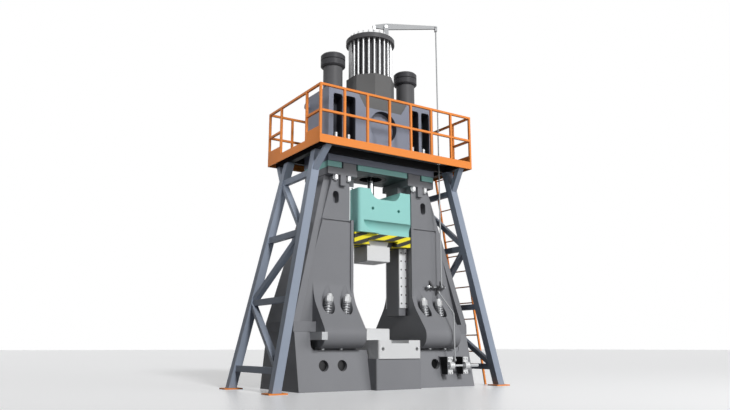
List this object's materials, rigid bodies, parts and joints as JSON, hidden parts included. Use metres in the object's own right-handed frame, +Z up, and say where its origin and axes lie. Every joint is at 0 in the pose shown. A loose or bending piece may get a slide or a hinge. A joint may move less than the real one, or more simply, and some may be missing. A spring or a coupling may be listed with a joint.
{
  "type": "hydraulic die-forging hammer",
  "caption": "Double-column hydraulic forging hammer: guided ram between columns on a cast anvil, hydraulic head above, railed platform on leg towers, ladder and valve linkage.",
  "frame": {"origin": "on the floor, in the middle of the anvil", "axes": "+X along the front to the right, +Y into the depth, +Z up"},
  "size_m": [5.712, 2.31, 8.186],
  "materials": {
    "cast_grey": "sand-cast, painted grey",
    "head_grey": "satin grey paint",
    "valve_grey": "satin dark grey paint",
    "teal": "semi-gloss pale teal paint",
    "die_steel": "ground steel",
    "bright_steel": "machined steel",
    "chrome": "polished",
    "dark_steel": "blackened steel",
    "orange": "satin orange paint",
    "leg_blue": "satin blue-grey paint",
    "rail_grey": "satin grey paint",
    "black": "satin black",
    "seal": "black rubber"
  },
  "bodies": {
    "frame": {"anvil_block": "cast_grey", "sow_block": "die_steel", "lower_die": "die_steel", "lower_die_key": "bright_steel", "left_column": "cast_grey", "right_column": "cast_grey", "column_keys": "bright_steel", "tie_bolts": "bright_steel", "tie_bolt_nuts": "bright_steel", "buffer_springs": "dark_steel", "guide_plates": "die_steel", "buffer_plate": "teal", "head_body": "head_grey", "head_studs": "bright_steel", "head_stud_nuts": "bright_steel", "cylinder_liner": "bright_steel", "rod_gland": "bright_steel", "rod_seal": "seal", "gland_cover": "dark_steel", "valve_block": "valve_grey", "stack_barrel": "dark_steel", "stack_flange": "head_grey", "tie_rods": "bright_steel", "tie_rod_nuts": "bright_steel", "accumulators": "valve_grey", "accumulator_caps": "black", "accumulator_bolts": "bright_steel", "deck_plate": "rail_grey", "deck_seal": "seal", "platform_fascia": "orange", "platform_joists": "orange", "long_railings": "orange", "side_railings": "orange", "toe_boards": "orange", "tower_legs": "leg_blue", "tower_braces": "leg_blue", "tower_struts": "orange", "tower_foot_plates": "orange", "ladder_stringers": "orange", "ladder_rungs": "orange", "rocker_stand": "dark_steel", "rocker_pin": "bright_steel", "crank_brackets": "dark_steel", "bearing_pads": "cast_grey", "base_bearings": "black", "bearing_caps": "chrome"},
    "ram_group": {"ram": "teal", "upper_die": "die_steel", "upper_die_keys": "bright_steel", "piston_rod": "chrome", "piston": "bright_steel", "piston_rings": "dark_steel"},
    "hand_shaft": {"base_shaft": "chrome", "base_crank": "dark_steel"},
    "lower_link": {"lower_rod": "bright_steel"},
    "crank": {"crank_shaft": "chrome", "bell_crank": "dark_steel"},
    "upper_link": {"pull_rod": "bright_steel"},
    "rocker": {"rocker_arm": "bright_steel"},
    "spool": {"valve_spool": "chrome"}
  },
  "joints": [
    {"name": "ram_slide", "type": "slide", "parent": "frame", "child": "ram_group", "axis": [0, 0, 1], "range_m": [-1.388, 0.1]},
    {"name": "hand_shaft_turn", "type": "hinge", "parent": "frame", "child": "hand_shaft", "pos_m": [1.42, -1.02, 0.44], "axis": [1, 0, 0], "range_deg": [-15, 15]},
    {"name": "lower_rod_shift", "type": "slide", "parent": "frame", "child": "lower_link", "axis": [0, 1, 0], "range_m": [-0.029, 0.029]},
    {"name": "crank_turn", "type": "hinge", "parent": "frame", "child": "crank", "pos_m": [1.42, -0.54, 2.085], "axis": [1, 0, 0], "range_deg": [-15.1, 15.1]},
    {"name": "pull_rod_lift", "type": "slide", "parent": "frame", "child": "upper_link", "axis": [0, 0, 1], "range_m": [-0.0265, 0.0265]},
    {"name": "rocker_turn", "type": "hinge", "parent": "frame", "child": "rocker", "pos_m": [0.3355, -0.15121, 8.07], "axis": [-0.4109, -0.9117, 0], "range_deg": [-1.3, 1.3]},
    {"name": "spool_lift", "type": "slide", "parent": "frame", "child": "spool", "axis": [0, 0, 1], "range_m": [-0.0063, 0.0063]}
  ],
  "couplings": [
    {"joint": "lower_rod_shift", "follows": "hand_shaft_turn", "m_per_rad": -0.11},
    {"joint": "crank_turn", "follows": "hand_shaft_turn", "ratio": -1},
    {"joint": "pull_rod_lift", "follows": "hand_shaft_turn", "m_per_rad": 0.1},
    {"joint": "rocker_turn", "follows": "hand_shaft_turn", "ratio": 0.084065},
    {"joint": "spool_lift", "follows": "hand_shaft_turn", "m_per_rad": -0.02337}
  ]
}
